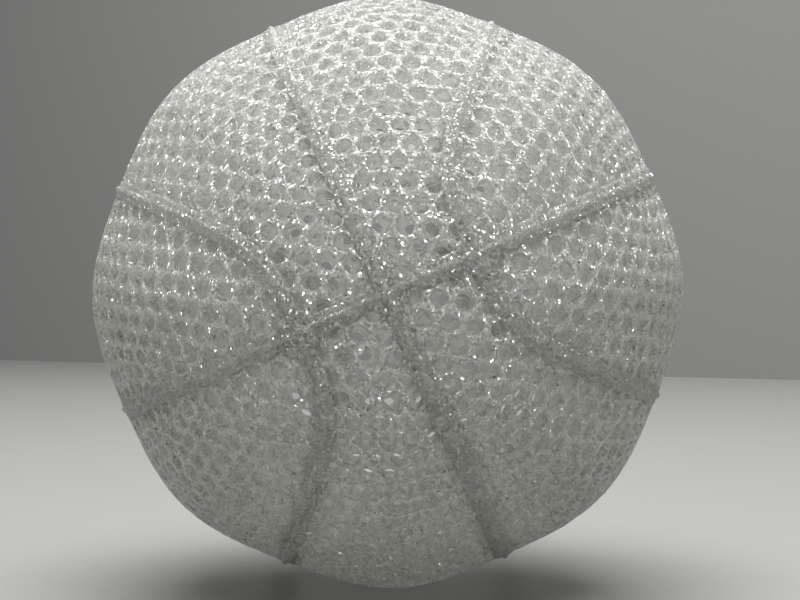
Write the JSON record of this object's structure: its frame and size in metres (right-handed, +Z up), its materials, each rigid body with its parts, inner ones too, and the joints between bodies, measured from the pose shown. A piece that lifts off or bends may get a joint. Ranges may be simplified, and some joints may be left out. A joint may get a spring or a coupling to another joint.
{
  "type": "airless lattice basketball",
  "caption": "Hollow airless basketball: a flexible perforated shell of puffed panels, with narrow raised ribs in its seam valleys and small solid junctions where seams cross.",
  "frame": {"origin": "centre of the ball", "axes": "+Z up as the ball lies, -Y out through the front pole, where two seams cross at right angles, +X to the right seen from the front"},
  "size_m": [0.24, 0.235, 0.24],
  "materials": {
    "lattice": "clear flexible plastic, frosted by its print layers",
    "seam": "clear flexible plastic, frosted, with fine ladder-like print lines"
  },
  "bodies": {
    "root": {"long_panel_top": "lattice", "long_panel_upper_left": "lattice", "long_panel_bottom": "lattice", "long_panel_lower_right": "lattice", "side_panel_upper_right": "lattice", "side_panel_right": "lattice", "side_panel_left": "lattice", "side_panel_lower_left": "lattice", "level_rib_front_right": "seam", "level_rib_right": "seam", "level_rib_back_right": "seam", "level_rib_front_left": "seam", "level_rib_left": "seam", "level_rib_back_left": "seam", "upright_rib_top": "seam", "upright_rib_bottom": "seam", "loop_rib_right_upper": "seam", "loop_rib_right_lower": "seam", "loop_rib_left_upper": "seam", "loop_rib_left_lower": "seam", "junction_front_pole": "seam", "junction_back_pole": "seam", "junction_front_right": "seam", "junction_front_left": "seam", "junction_back_right": "seam", "junction_back_left": "seam"}
  },
  "joints": []
}
